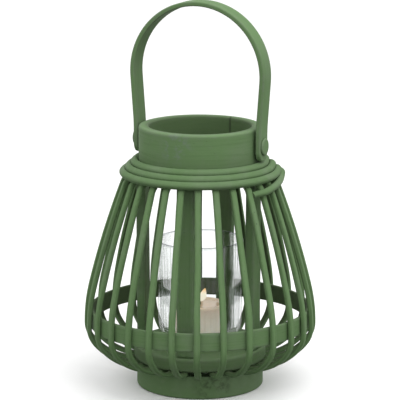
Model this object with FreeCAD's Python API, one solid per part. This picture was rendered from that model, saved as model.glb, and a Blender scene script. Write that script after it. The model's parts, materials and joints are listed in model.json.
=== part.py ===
import FreeCAD, Part
import os
from math import asin, atan2, cos, degrees, hypot, radians, sin, sqrt

# Bamboo candle lantern: a pear-shaped cage of bent cane ribs on a round wooden foot, with a wide
# collar, three cane coils on the shoulder and a swinging strap handle.  A glass tumbler with a
# candle stands inside.  Millimetres.  The origin is the centre of the foot's underside, +Z is up,
# and the handle's two rivets lie on the X axis.

# Foot and floor disc
foot_radius = 60.5
foot_wall = 8.5
foot_height = 22.0
foot_rounding = 1.6
disc_overhang = 2.5
disc_thickness = 13.2
disc_rounding = 2.3

# Ribs of the cage
rib_count = 28
rib_first_angle = -66.4
rib_drift = 1.4
rib_drift_phase = -80.0
rib_bunching = 1.2
rib_bunching_phase = 168.0
rib_width = 6.0
rib_thickness = 4.3
rib_rounding = 1.4
belly_radius = 110.6
belly_height = 60.3
lower_belly_bend = 27.4
upper_belly_bend = 162.0
belly_lean_share = 0.946
shoulder_reach = 16.6
shoulder_drop = 3.6
shoulder_bend = 12.0
shoulder_lean = 47.7

# Flat hoop inside the belly
hoop_drop = 1.3
hoop_width = 17.2
hoop_thickness = 3.2
hoop_rounding = 0.9

# Collar
collar_radius = 58.2
collar_wall = 9.1
collar_bottom = 202.0
collar_height = 49.5
collar_rim_rounding = 3.4
collar_mouth_rounding = 2.6
collar_foot_rounding = 0.8

# Uprights between the floor disc and the collar
upright_angles = {"front": -79.5, "right": -3.5, "back": 88.0, "left": 190.0}
upright_inset = 2.0
upright_width = 16.5
upright_thickness = 9.0
upright_rounding = 1.5
dowel_radius = 2.0
dowel_depth = 9.0

# Cane coils on the shoulder
cane_radius = 3.5
coil_gap = 0.3
cane_end_start = 26.0
cane_end_slope = 46.0
cane_end_rib = 3
cane_end_drop = 7.6
cane_end_flare = 3.4

# Screws that hold the foot ring
screw_count = 4
first_screw_gap = 1
screw_radius = 1.75
screw_head_radius = 3.4
screw_head_height = 2.2
screw_recess = 6.0
screw_bite = 8.0

# Handle and its rivets
strap_width = 19.0
strap_thickness = 5.0
strap_rounding = 1.3
strap_play = 2.0
pivot_drop = 16.5
leg_straight = 9.1
leg_bend = 200.0
leg_lean = 4.2
leg_splay = 3.4
leg_end_gap = 0.6
rivet_radius = 2.5
rivet_running_gap = 0.06
rivet_head_radius = 8.0
rivet_head_height = 1.8
rivet_head_rounding = 1.3
rivet_head_play = 0.15
clinch_radius = 3.8
clinch_height = 1.4
washer_radius = 5.5
washer_thickness = 1.0

# Glass tumbler
glass_height = 101.5
glass_base_radius = 35.0
glass_body_radius = 39.6
glass_rim_radius = 41.4
glass_body_height = 19.0
glass_wall = 2.1
glass_base_thickness = 8.5
glass_heel_rounding = 3.0
glass_body_rounding = 30.0
glass_rim_rounding = 0.9
glass_inner_rounding = 5.0

# Candle
candle_radius = 25.0
candle_height = 29.5
candle_rounding = 1.6
melt_pool_radius = 19.5
melt_pool_depth = 1.6
wick_radius = 0.8
wick_height = 8.0
wick_depth = 22.0

# Gaps: a glue line between curved faces that meet, and the space under a piece that lifts off
glue_gap = 0.05
seat_gap = 0.1
lift_gap = 0.2

# Sizes that follow from those above
foot_inner_radius = foot_radius - foot_wall
disc_radius = foot_radius + disc_overhang
disc_bottom = foot_height + rib_thickness
disc_top = disc_bottom + disc_thickness
hoop_bottom = belly_height - hoop_drop
collar_inner_radius = collar_radius - collar_wall
collar_top = collar_bottom + collar_height
pivot_height = collar_top - pivot_drop
upright_radius = collar_radius - upright_inset
coil_pitch = 2 * cane_radius + coil_gap
leg_inner = collar_radius + strap_play
leg_outer = leg_inner + strap_thickness

UP = FreeCAD.Vector(0, 0, 1)
ALONG_X = FreeCAD.Vector(1, 0, 0)
ORIGIN = FreeCAD.Vector(0, 0, 0)


def vector(x, y, z):
    """A FreeCAD vector."""
    return FreeCAD.Vector(x, y, z)


def polar(radius, angle, z):
    """The point at a radius and an angle in degrees about the Z axis."""
    return vector(radius * cos(radians(angle)), radius * sin(radians(angle)), z)


def turned(shape, angle):
    """A copy of the shape turned about the Z axis."""
    copy = shape.copy()
    copy.rotate(ORIGIN, UP, angle)
    return copy


def tube(outer, inner, bottom, height):
    """A straight round tube standing on the given height."""
    outside = Part.makeCylinder(outer, height, vector(0, 0, bottom))
    inside = Part.makeCylinder(inner, height, vector(0, 0, bottom))
    return outside.cut(inside)


def round_circles(shape, picks):
    """Round the horizontal circular edges picked as (radius, height, rounding)."""
    for radius, height, rounding in picks:
        edges = []
        for edge in shape.Edges:
            curve = edge.Curve
            if isinstance(curve, Part.Circle):
                if abs(curve.Radius - radius) < 0.01 and abs(curve.Center.z - height) < 0.01:
                    edges.append(edge)
        shape = shape.makeFillet(rounding, edges)
    return shape


def bent_path(start_x, start_z, heading, moves):
    """A smooth wire in the XZ plane, and the x, z and heading at which it ends.

    Each move is (length, 0) for a straight run or (radius, turn) for an arc, with the turn in
    degrees, positive to the left of travel.
    """
    x, z, angle = start_x, start_z, radians(heading)
    edges = []
    for size, turn in moves:
        begin = vector(x, 0, z)
        if turn == 0:
            x += size * cos(angle)
            z += size * sin(angle)
            edges.append(Part.LineSegment(begin, vector(x, 0, z)).toShape())
            continue
        side = 1 if turn > 0 else -1
        centre_x = x - side * size * sin(angle)
        centre_z = z + side * size * cos(angle)
        middle = angle + radians(turn) / 2
        half_way = vector(centre_x + side * size * sin(middle), 0, centre_z - side * size * cos(middle))
        angle += radians(turn)
        x = centre_x + side * size * sin(angle)
        z = centre_z - side * size * cos(angle)
        edges.append(Part.Arc(begin, half_way, vector(x, 0, z)).toShape())
    return Part.Wire(edges), x, z, degrees(angle)


def rounded_section(centre, across, width, thickness, rounding):
    """A rounded rectangle, width along Y and thickness along the given direction."""
    side = vector(0, 1, 0)
    half_width = width / 2
    half_thickness = thickness / 2
    corners = [(1, 1), (-1, 1), (-1, -1), (1, -1)]
    diagonal = rounding * (1 - sqrt(0.5))
    edges = []
    last = None
    first = None
    for index, (sign_y, sign_t) in enumerate(corners):
        corner_y = sign_y * half_width
        corner_t = sign_t * half_thickness
        on_side = centre + side * corner_y + across * (corner_t - sign_t * rounding)
        on_top = centre + side * (corner_y - sign_y * rounding) + across * corner_t
        middle = (centre + side * (corner_y - sign_y * diagonal)
                  + across * (corner_t - sign_t * diagonal))
        begin, end = (on_side, on_top) if index % 2 == 0 else (on_top, on_side)
        if last is None:
            first = begin
        else:
            edges.append(Part.LineSegment(last, begin).toShape())
        edges.append(Part.Arc(begin, middle, end).toShape())
        last = end
    edges.append(Part.LineSegment(last, first).toShape())
    return Part.Wire(edges)


def rib_moves():
    """The rib's middle line as (size, turn) moves, from its foot end up to the collar."""
    half = rib_thickness / 2
    run = belly_radius - foot_radius
    drop = belly_height - foot_height
    tight = lower_belly_bend
    wide = ((run - tight) ** 2 + drop ** 2 - tight ** 2) / (2 * (drop - tight))
    tight_turn = degrees(asin((wide - drop) / (wide - tight)))

    shoulder_radius = collar_radius + shoulder_reach
    shoulder_height = collar_bottom - shoulder_drop
    whole_lean = atan2(belly_radius - shoulder_radius, shoulder_height - belly_height)
    belly_lean = belly_lean_share * whole_lean
    flank_foot_radius = belly_radius - upper_belly_bend * (1 - cos(belly_lean))
    flank_foot_height = belly_height + upper_belly_bend * sin(belly_lean)
    across = flank_foot_radius - shoulder_radius
    rise = shoulder_height - flank_foot_height
    flank_turn = 2 * (atan2(across, rise) - belly_lean)
    flank_bend = hypot(across, rise) / (2 * sin(flank_turn / 2))
    top_lean = degrees(belly_lean + flank_turn)

    bend_turn = shoulder_lean - top_lean
    bend_out = shoulder_bend * (cos(radians(top_lean)) - cos(radians(shoulder_lean)))
    straight = (shoulder_reach - bend_out) / sin(radians(shoulder_lean)) + rib_thickness
    return [
        (foot_wall, 0),
        (wide - half, 90 - tight_turn),
        (tight - half, tight_turn),
        (upper_belly_bend - half, degrees(belly_lean)),
        (flank_bend - half, degrees(flank_turn)),
        (shoulder_bend - half, bend_turn),
        (straight, 0),
    ]


def rib_line():
    """The rib's middle line, and the x and z of its upper end."""
    return bent_path(foot_inner_radius, foot_height + rib_thickness / 2, 0, rib_moves())[:3]


def rib():
    """One rib in the XZ plane: its foot end lies on the foot ring, its top end meets the collar."""
    path, _, _ = rib_line()
    start = vector(foot_inner_radius, 0, foot_height + rib_thickness / 2)
    section = rounded_section(start, UP, rib_width, rib_thickness, rib_rounding)
    bent = path.makePipeShell([section], True, False)
    collar_face = Part.makeCylinder(collar_radius + glue_gap, collar_height, vector(0, 0, collar_bottom))
    return bent.cut(collar_face)


def rib_inner_radius(height):
    """How far the rib's inner face is from the axis, at a height on the upper belly."""
    bend = upper_belly_bend - rib_thickness
    return belly_radius - upper_belly_bend + sqrt(bend ** 2 - (height - belly_height) ** 2)


def rib_angle(index):
    """Angle of a rib about the axis: set by eye, they stand closer in some places."""
    turn = 360.0 * index / rib_count
    drift = rib_drift * cos(radians(turn - rib_drift_phase))
    bunching = rib_bunching * cos(radians(3 * turn - rib_bunching_phase))
    return rib_first_angle + turn + drift + bunching


def screw_angles():
    """Angles of the foot screws, each midway between two ribs."""
    step = rib_count // screw_count
    return [rib_angle(first_screw_gap + index * step + 0.5) for index in range(screw_count)]


def foot_screw_radius():
    """The foot screws stand in the middle of the foot ring's wall."""
    return foot_radius - foot_wall / 2


def foot_ring():
    """The round foot, with counterbored holes for its screws."""
    ring = tube(foot_radius, foot_inner_radius, 0, foot_height)
    ring = round_circles(ring, [
        (foot_radius, 0, foot_rounding),
        (foot_inner_radius, 0, foot_rounding / 2),
        (foot_inner_radius, foot_height, foot_rounding / 2),
    ])
    for angle in screw_angles():
        base = polar(foot_screw_radius(), angle, 0)
        ring = ring.cut(Part.makeCylinder(screw_radius, foot_height, base))
        ring = ring.cut(Part.makeCylinder(screw_head_radius, screw_recess + screw_head_height, base))
    return ring


def foot_screws():
    """Round-headed wood screws up through the foot ring into the floor disc."""
    screws = []
    for angle in screw_angles():
        head_base = polar(foot_screw_radius(), angle, screw_recess)
        head = Part.makeCylinder(screw_head_radius - seat_gap, screw_head_height, head_base)
        shank_top = disc_bottom + screw_bite
        shank = Part.makeCylinder(screw_radius, shank_top - screw_recess, head_base)
        screws.append(head.fuse(shank).removeSplitter())
    return Part.makeCompound(screws)


def dowel_holes(height, depth):
    """Round holes of the uprights' dowels, from a height upward."""
    holes = []
    for angle in upright_angles.values():
        holes.append(Part.makeCylinder(dowel_radius, depth, polar(upright_radius, angle, height)))
    return Part.makeCompound(holes)


def base_disc():
    """The thick floor disc, which clamps the ribs' foot ends on to the foot ring."""
    disc = Part.makeCylinder(disc_radius, disc_thickness, vector(0, 0, disc_bottom))
    disc = round_circles(disc, [
        (disc_radius, disc_bottom, disc_rounding),
        (disc_radius, disc_top, disc_rounding),
    ])
    for angle in screw_angles():
        base = polar(foot_screw_radius(), angle, disc_bottom)
        disc = disc.cut(Part.makeCylinder(screw_radius, screw_bite, base))
    return disc.cut(dowel_holes(disc_top - dowel_depth, dowel_depth))


def belly_hoop():
    """The flat hoop that the ribs lie against at the belly."""
    hoop_top = hoop_bottom + hoop_width
    outer = rib_inner_radius(hoop_top) - glue_gap
    inner = outer - hoop_thickness
    hoop = tube(outer, inner, hoop_bottom, hoop_width)
    return round_circles(hoop, [
        (radius, height, hoop_rounding) for radius in (outer, inner) for height in (hoop_bottom, hoop_top)
    ])


def collar():
    """The wide collar, bored for the rivets and the uprights' dowels."""
    ring = tube(collar_radius, collar_inner_radius, collar_bottom, collar_height)
    ring = round_circles(ring, [
        (collar_radius, collar_top, collar_rim_rounding),
        (collar_inner_radius, collar_top, collar_mouth_rounding),
        (collar_radius, collar_bottom, collar_foot_rounding),
        (collar_inner_radius, collar_bottom, collar_foot_rounding),
    ])
    bore_length = 2 * collar_radius + collar_wall
    bore_start = vector(-bore_length / 2, 0, pivot_height)
    ring = ring.cut(Part.makeCylinder(rivet_radius, bore_length, bore_start, ALONG_X))
    return ring.cut(dowel_holes(collar_bottom, dowel_depth))


def upright(angle):
    """A flat batten that stands on the floor disc and carries the collar."""
    length = collar_bottom - disc_top
    corner = vector(upright_radius - upright_thickness / 2, -upright_width / 2, disc_top)
    batten = Part.makeBox(upright_thickness, upright_width, length, corner)
    long_edges = [edge for edge in batten.Edges if abs(edge.Length - length) < 0.01]
    batten = turned(batten.makeFillet(upright_rounding, long_edges), angle)
    for height in (disc_top, collar_bottom - dowel_depth):
        hole = Part.makeCylinder(dowel_radius, dowel_depth, polar(upright_radius, angle, height))
        batten = batten.cut(hole)
    return batten


def upright_dowels():
    """Wooden dowels at both ends of every upright."""
    dowels = []
    for angle in upright_angles.values():
        for joint in (disc_top, collar_bottom):
            base = polar(upright_radius, angle, joint - dowel_depth)
            dowels.append(Part.makeCylinder(dowel_radius, 2 * dowel_depth, base))
    return Part.makeCompound(dowels)


def coil_centres():
    """Radius and height of the coils' cane, from the collar down along the ribs' shoulder."""
    _, end_x, end_z = rib_line()
    lean = radians(shoulder_lean)
    along = (sin(lean), -cos(lean))
    away = (cos(lean), sin(lean))
    rest = rib_thickness / 2 + cane_radius + seat_gap
    first_radius = collar_radius + cane_radius + seat_gap
    slide = (first_radius - end_x - rest * away[0]) / along[0]
    centres = []
    for index in range(3):
        distance = slide + index * coil_pitch
        centres.append((end_x + distance * along[0] + rest * away[0],
                        end_z + distance * along[1] + rest * away[1]))
    return centres


def cane_coil(index):
    """One closed turn of round cane round the shoulder."""
    radius, height = coil_centres()[index]
    return Part.makeTorus(radius, cane_radius, vector(0, 0, height))


def cane_end():
    """The loose end of the lowest coil, which runs down across the ribs and stops beside one."""
    coil_radius, coil_height = coil_centres()[-1]
    start_radius = coil_radius + coil_pitch * cos(radians(cane_end_slope))
    start_height = coil_height - coil_pitch * sin(radians(cane_end_slope))
    beside_rib = degrees((rib_width / 2 + seat_gap) / start_radius)
    stop_angle = rib_angle(cane_end_rib) + beside_rib
    points = []
    for share in (0.0, 0.5, 1.0):
        angle = cane_end_start + share * (stop_angle - cane_end_start)
        points.append(polar(start_radius + share * cane_end_flare, angle,
                            start_height - share * cane_end_drop))
    arc = Part.Arc(*points)
    section = Part.Circle(points[0], arc.tangent(arc.FirstParameter)[0], cane_radius).toShape()
    path = Part.Wire([arc.toShape()])
    return path.makePipeShell([Part.Wire([section])], True, False)


def handle_strap():
    """The bent wooden strap: two legs that splay a little, joined by a round crown."""
    half = strap_thickness / 2
    coil_top = coil_centres()[0][1] + cane_radius
    leg_end = coil_top + leg_end_gap
    crown_middle = leg_outer + leg_splay - half
    lean = radians(leg_lean)
    bent_x = leg_inner + half + (leg_bend - half) * (1 - cos(lean))
    slant = (crown_middle * cos(lean) - bent_x) / sin(lean)
    leg = [(pivot_height + leg_straight - leg_end, 0), (leg_bend - half, leg_lean), (slant, 0)]
    crown = [(crown_middle, -180 - 2 * leg_lean)]
    start = vector(-leg_inner - half, 0, leg_end)
    path = bent_path(start.x, start.z, 90, leg + crown + leg[::-1])[0]
    section = rounded_section(start, ALONG_X, strap_width, strap_thickness, strap_rounding)
    strap = path.makePipeShell([section], True, False)

    reach = 2 * (leg_outer + strap_thickness)
    half_width = strap_width / 2
    rounding = Part.makeCylinder(half_width, reach, vector(-reach / 2, 0, leg_end + half_width), ALONG_X)
    block = Part.makeBox(reach, 2 * strap_width, strap_width,
                         vector(-reach / 2, -strap_width, leg_end + half_width - strap_width))
    strap = strap.cut(block.cut(rounding))
    bore = Part.makeCylinder(rivet_radius + rivet_running_gap, reach,
                             vector(-reach / 2, 0, pivot_height), ALONG_X)
    return strap.cut(bore)


def washer_face():
    """How far from the axis the clinch washer's outer face stands in the curved collar."""
    return sqrt(collar_inner_radius ** 2 - washer_radius ** 2) - glue_gap


def handle_rivet():
    """A rivet along +X: round head outside the strap, clinched over the washer inside."""
    head_base = leg_outer + rivet_head_play
    clinch_top = washer_face() - washer_thickness
    clinch = Part.makeCylinder(clinch_radius, clinch_height, vector(0, 0, clinch_top - clinch_height))
    shank = Part.makeCylinder(rivet_radius, head_base - clinch_top, vector(0, 0, clinch_top))
    head = Part.makeCylinder(rivet_head_radius, rivet_head_height, vector(0, 0, head_base))
    head = round_circles(head, [(rivet_head_radius, head_base + rivet_head_height, rivet_head_rounding)])
    rivet = clinch.fuse(shank).fuse(head)
    rivet.rotate(ORIGIN, vector(0, 1, 0), 90)
    rivet.translate(vector(0, 0, pivot_height))
    return rivet


def clinch_washer():
    """The flat washer between the collar's inner face and the clinched end."""
    start = vector(washer_face() - washer_thickness, 0, pivot_height)
    plate = Part.makeCylinder(washer_radius, washer_thickness, start, ALONG_X)
    return plate.cut(Part.makeCylinder(rivet_radius, washer_thickness, start, ALONG_X))


def glass_tumbler():
    """A plain drinking glass with a thick base and a slight outward taper."""
    outline = [
        (0, 0),
        (glass_base_radius, 0),
        (glass_body_radius, glass_body_height),
        (glass_rim_radius, glass_height),
        (glass_rim_radius - glass_wall, glass_height),
        (glass_body_radius - glass_wall, glass_body_height),
        (glass_base_radius - glass_wall, glass_base_thickness),
        (0, glass_base_thickness),
    ]
    bottom = disc_top + lift_gap
    corners = [vector(radius, 0, bottom + height) for radius, height in outline]
    glass = Part.Face(Part.makePolygon(corners + corners[:1])).revolve(ORIGIN, UP, 360)
    return round_circles(glass, [
        (glass_base_radius, bottom, glass_heel_rounding),
        (glass_body_radius, bottom + glass_body_height, glass_body_rounding),
        (glass_base_radius - glass_wall, bottom + glass_base_thickness, glass_inner_rounding),
        (glass_rim_radius, bottom + glass_height, glass_rim_rounding),
        (glass_rim_radius - glass_wall, bottom + glass_height, glass_rim_rounding),
    ])


def candle_bottom():
    """The candle stands on the glass's thick base."""
    return disc_top + lift_gap + glass_base_thickness + lift_gap


def candle_wax():
    """A votive candle with a shallow melt pool and a hole for the wick."""
    bottom = candle_bottom()
    top = bottom + candle_height
    wax = Part.makeCylinder(candle_radius, candle_height, vector(0, 0, bottom))
    wax = round_circles(wax, [(candle_radius, top, candle_rounding),
                              (candle_radius, bottom, candle_rounding)])
    pool = (melt_pool_radius ** 2 + melt_pool_depth ** 2) / (2 * melt_pool_depth)
    wax = wax.cut(Part.makeSphere(pool, vector(0, 0, top - melt_pool_depth + pool)))
    return wax.cut(Part.makeCylinder(wick_radius, wick_depth + wick_height, vector(0, 0, top - wick_depth)))


def candle_wick():
    """A short cotton wick."""
    top = candle_bottom() + candle_height
    wick = Part.makeCylinder(wick_radius, wick_depth + wick_height, vector(0, 0, top - wick_depth))
    return round_circles(wick, [(wick_radius, top + wick_height, wick_radius / 2)])


def all_nodes():
    """Every piece with its node name."""
    nodes = {
        "foot_ring": foot_ring(),
        "foot_screws": foot_screws(),
        "base_disc": base_disc(),
        "belly_hoop": belly_hoop(),
        "collar": collar(),
        "upright_dowels": upright_dowels(),
        "handle_strap": handle_strap(),
        "glass_tumbler": glass_tumbler(),
        "candle_wax": candle_wax(),
        "candle_wick": candle_wick(),
        "cane_end": cane_end(),
    }
    one_rib = rib()
    for index in range(rib_count):
        nodes["rib_%02d" % (index + 1)] = turned(one_rib, rib_angle(index))
    for name, angle in upright_angles.items():
        nodes["upright_" + name] = upright(angle)
    for index, name in enumerate(("top", "middle", "low")):
        nodes["cane_coil_" + name] = cane_coil(index)
    for side, angle in (("right", 0), ("left", 180)):
        nodes["handle_rivet_" + side] = turned(handle_rivet(), angle)
        nodes["clinch_washer_" + side] = turned(clinch_washer(), angle)
    return nodes


os.makedirs("parts", exist_ok=True)
for node_name, node_shape in all_nodes().items():
    node_shape.exportStep(os.path.join("parts", node_name + ".step"))
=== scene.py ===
"""A green painted bamboo candle lantern, dressed round its loaded frame.  Lengths are in metres."""

import json
import math

import bpy
import numpy as np
from bpy.props import FloatProperty, FloatVectorProperty, IntProperty, PointerProperty
from bpy.types import Operator, Panel, PropertyGroup
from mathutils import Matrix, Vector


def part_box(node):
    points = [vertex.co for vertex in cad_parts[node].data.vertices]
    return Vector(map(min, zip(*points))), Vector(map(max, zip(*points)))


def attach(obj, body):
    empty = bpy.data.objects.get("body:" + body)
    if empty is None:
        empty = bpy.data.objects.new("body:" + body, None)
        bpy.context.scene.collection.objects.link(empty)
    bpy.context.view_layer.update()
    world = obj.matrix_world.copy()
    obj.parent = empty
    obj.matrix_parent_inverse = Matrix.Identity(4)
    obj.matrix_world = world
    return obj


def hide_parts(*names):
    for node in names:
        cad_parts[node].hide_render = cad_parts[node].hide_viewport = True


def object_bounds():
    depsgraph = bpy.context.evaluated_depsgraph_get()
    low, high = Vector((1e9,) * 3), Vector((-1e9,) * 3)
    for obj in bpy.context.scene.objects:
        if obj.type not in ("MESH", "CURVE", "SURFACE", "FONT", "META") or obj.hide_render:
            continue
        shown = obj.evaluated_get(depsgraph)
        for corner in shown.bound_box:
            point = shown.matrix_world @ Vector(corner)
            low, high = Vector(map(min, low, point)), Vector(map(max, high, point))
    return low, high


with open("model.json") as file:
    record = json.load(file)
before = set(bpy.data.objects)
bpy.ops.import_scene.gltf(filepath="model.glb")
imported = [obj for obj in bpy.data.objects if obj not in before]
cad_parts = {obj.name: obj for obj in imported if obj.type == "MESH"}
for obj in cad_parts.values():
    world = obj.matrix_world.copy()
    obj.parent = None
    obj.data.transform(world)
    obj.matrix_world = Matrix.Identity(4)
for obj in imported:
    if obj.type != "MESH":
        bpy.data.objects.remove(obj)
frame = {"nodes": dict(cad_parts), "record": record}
cad_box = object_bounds()

bl_info = {
    "name": "Candle lantern",
    "version": (1, 0, 0),
    "blender": (4, 5, 0),
    "location": "3D View > Sidebar > Lantern",
    "description": "Builds the painted cane, wood, glass and candle of a lantern round its frame",
    "category": "Object",
}

FULL_TURN = 2 * math.pi
RIB_NODES = sorted(node for node in frame["nodes"] if node.startswith("rib_"))
UPRIGHT_NODES = sorted(node for node in frame["nodes"] if node.startswith("upright_")
                       and node != "upright_dowels")
COIL_NODES = ["cane_coil_top", "cane_coil_middle", "cane_coil_low"]
STOP_RIB_NODE = "rib_04"


# Places and sizes read from the frame

def half_width(node):
    """Half of a node's width along X."""
    low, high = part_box(node)
    return (high.x - low.x) / 2


def bottom(node):
    """The height of a node's lowest point."""
    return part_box(node)[0].z


def top(node):
    """The height of a node's highest point."""
    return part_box(node)[1].z


def bearing(node):
    """The angle about the vertical axis at which a node stands."""
    low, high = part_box(node)
    return math.atan2(low.y + high.y, low.x + high.x)


def pivot_height():
    """The height of the handle's pivot."""
    joints = frame["record"]["behaviour"]["joints"]
    return next(joint["pos_m"][2] for joint in joints if joint["name"] == "handle_swing")


# Settings

def length(name, description, default):
    """A length property in metres."""
    return FloatProperty(name=name, description=description, default=default, unit="LENGTH", precision=5)


def angle(name, description, degrees):
    """An angle property, given in degrees."""
    return FloatProperty(name=name, description=description, default=math.radians(degrees),
                         unit="ROTATION")


def number(name, description, default):
    """A plain number property."""
    return FloatProperty(name=name, description=description, default=default)


def colour(name, description, default):
    """A linear colour property."""
    return FloatVectorProperty(name=name, description=description, default=default,
                               subtype="COLOR", min=0.0, max=1.0)


class CageSizes(PropertyGroup):
    """Sizes of the ribs, the hoop and the cane coils."""
    rib_width: length("Rib width", "Width of a rib across its face", 0.0060)
    rib_thickness: length("Rib thickness", "Thickness of a rib", 0.0043)
    rib_rounding: length("Rib rounding", "Radius of a rib's long edges", 0.0014)
    rib_sway: length("Rib sway", "How far a rib strays to either side", 0.0006)
    foot_wall: length("Foot run", "How far a rib's end lies over the foot ring", 0.0085)
    belly_radius: length("Belly radius", "Outer radius of the cage at its widest", 0.1106)
    belly_height: length("Belly height", "Height of the widest place", 0.0603)
    lower_bend: length("Lower bend", "Radius of the bend just under the belly", 0.0274)
    upper_bend: length("Upper bend", "Radius of the bend just over the belly", 0.162)
    belly_lean: number("Belly lean", "Share of the whole lean taken up just over the belly", 0.946)
    shoulder_reach: length("Shoulder reach", "How far the shoulder stands out from the collar", 0.0166)
    shoulder_drop: length("Shoulder drop", "How far the shoulder lies below the collar", 0.0036)
    shoulder_bend: length("Shoulder bend", "Radius of the bend at the shoulder", 0.012)
    shoulder_lean: angle("Shoulder lean", "Lean of the ribs under the coils, from upright", 47.7)
    hoop_thickness: length("Hoop thickness", "Thickness of the flat hoop", 0.0032)
    hoop_rounding: length("Hoop rounding", "Radius of the hoop's edges", 0.0009)
    cane_radius: length("Cane radius", "Radius of the round cane", 0.0035)
    cane_flatness: length("Cane flatness", "How much thinner the cane is than it is wide", 0.0005)
    step_start: angle("Step start", "Angle at which a turn of cane starts to step down", 134.0)
    step_end: angle("Step end", "Angle at which a turn of cane has stepped down", 44.0)
    loose_start: angle("Loose end start", "Angle at which the cane leaves the turns", 26.0)
    loose_flare: length("Loose end flare", "How far the loose end spreads outwards", 0.0032)
    loose_drop: length("Loose end drop", "How far the loose end runs down", 0.0090)
    loose_taper: number("Loose end taper", "Share by which the cane thins to its tip", 0.16)
    loose_dive: length("Loose end dive", "How far the tip dives in between the ribs", 0.0045)
    tuck: number("Tuck", "Where the loose end starts under the lowest turn, in pitches", 0.60)
    cane_raise: length("Cane raise", "How far the turns ride up on the right", 0.0022)
    raise_angle: angle("Raise angle", "Where the turns ride up", 24.0)
    raise_spread: angle("Raise spread", "How far to either side they ride up", 8.0)


class WoodSizes(PropertyGroup):
    """Sizes of the turned and flat wooden pieces."""
    disc_rounding: length("Disc rounding", "Radius of the floor disc's edges", 0.0023)
    collar_wall: length("Collar wall", "Thickness of the collar", 0.0091)
    rim_rounding: length("Rim rounding", "Radius of the collar's outer rim edge", 0.0022)
    mouth_rounding: length("Mouth rounding", "Radius of the collar's inner rim edge", 0.0018)
    collar_foot_rounding: length("Collar foot rounding", "Radius of the collar's lower edges", 0.0008)
    seam_angle: angle("Seam angle", "Where the collar's glued seam stands", 78.0)
    seam_step: length("Seam step", "How far the two ends stand apart at the seam", 0.0006)
    # Painted shade: how dark the collar's outer face is painted just above the cane, where the cane shades
    # it.
    low_shade: number("Grime", "How dark the collar is just above the cane", 0.34)
    upright_width: length("Upright width", "Width of an upright", 0.0165)
    upright_thickness: length("Upright thickness", "Thickness of an upright", 0.0090)
    upright_rounding: length("Upright rounding", "Radius of an upright's long edges", 0.0015)
    strap_width: length("Strap width", "Width of the handle strap", 0.0190)
    strap_thickness: length("Strap thickness", "Thickness of the handle strap", 0.0050)
    strap_rounding: length("Strap rounding", "Radius of the strap's long edges", 0.0013)
    leg_straight: length("Leg straight", "Straight part of a leg above the pivot", 0.0091)
    leg_bend: length("Leg bend", "Radius of the bend between leg and splay", 0.2000)
    leg_lean: angle("Leg lean", "Outward lean of the legs", 4.2)
    leg_splay: length("Leg splay", "How much wider the crown is than the legs, each side", 0.0034)
    rivet_radius: length("Rivet radius", "Radius of a rivet's shank", 0.0025)
    rivet_head_height: length("Rivet head height", "Height of a rivet's head", 0.0018)
    rivet_rounding: length("Rivet rounding", "Radius of a rivet head's edge", 0.0013)
    clinch_radius: length("Clinch radius", "Radius of a rivet's clinched end", 0.0038)
    clinch_height: length("Clinch height", "Height of a rivet's clinched end", 0.0014)
    clinch_rounding: length("Clinch rounding", "Radius of the clinched end's edge", 0.0006)


class CandleSizes(PropertyGroup):
    """Sizes of the glass, the candle and the flame."""
    glass_wall: length("Glass wall", "Thickness of the glass", 0.0021)
    glass_floor: length("Glass floor", "Thickness of the glass's base", 0.0085)
    glass_base_radius: length("Glass base radius", "Radius of the glass at its base", 0.0350)
    glass_body_radius: length("Glass body radius", "Radius of the glass low on its body", 0.0396)
    glass_body_height: length("Glass body height", "Height of that place above the base", 0.0190)
    pool_radius: length("Pool radius", "Radius of the pool of melted wax", 0.0195)
    pool_depth: length("Pool depth", "Depth of the pool of melted wax", 0.0016)
    flute_count: IntProperty(name="Flutes", description="Upright flutes round the candle", default=46)
    flute_depth: length("Flute depth", "Depth of the candle's flutes", 0.00022)
    flame_height: length("Flame height", "Height of the flame", 0.0140)
    flame_radius: length("Flame radius", "Radius of the flame at its widest", 0.0036)
    flame_drop: length("Flame drop", "How far the flame's foot is below the wick's tip", 0.0072)
    flame_side: length("Flame side", "How far the flame stands off the candle's middle", 0.0020)
    flame_lean: length("Flame lean", "How far further the flame's tip leans", 0.0030)
    flame_bearing: angle("Flame bearing", "Direction in which the wick and the flame lean", 24.0)


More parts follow.
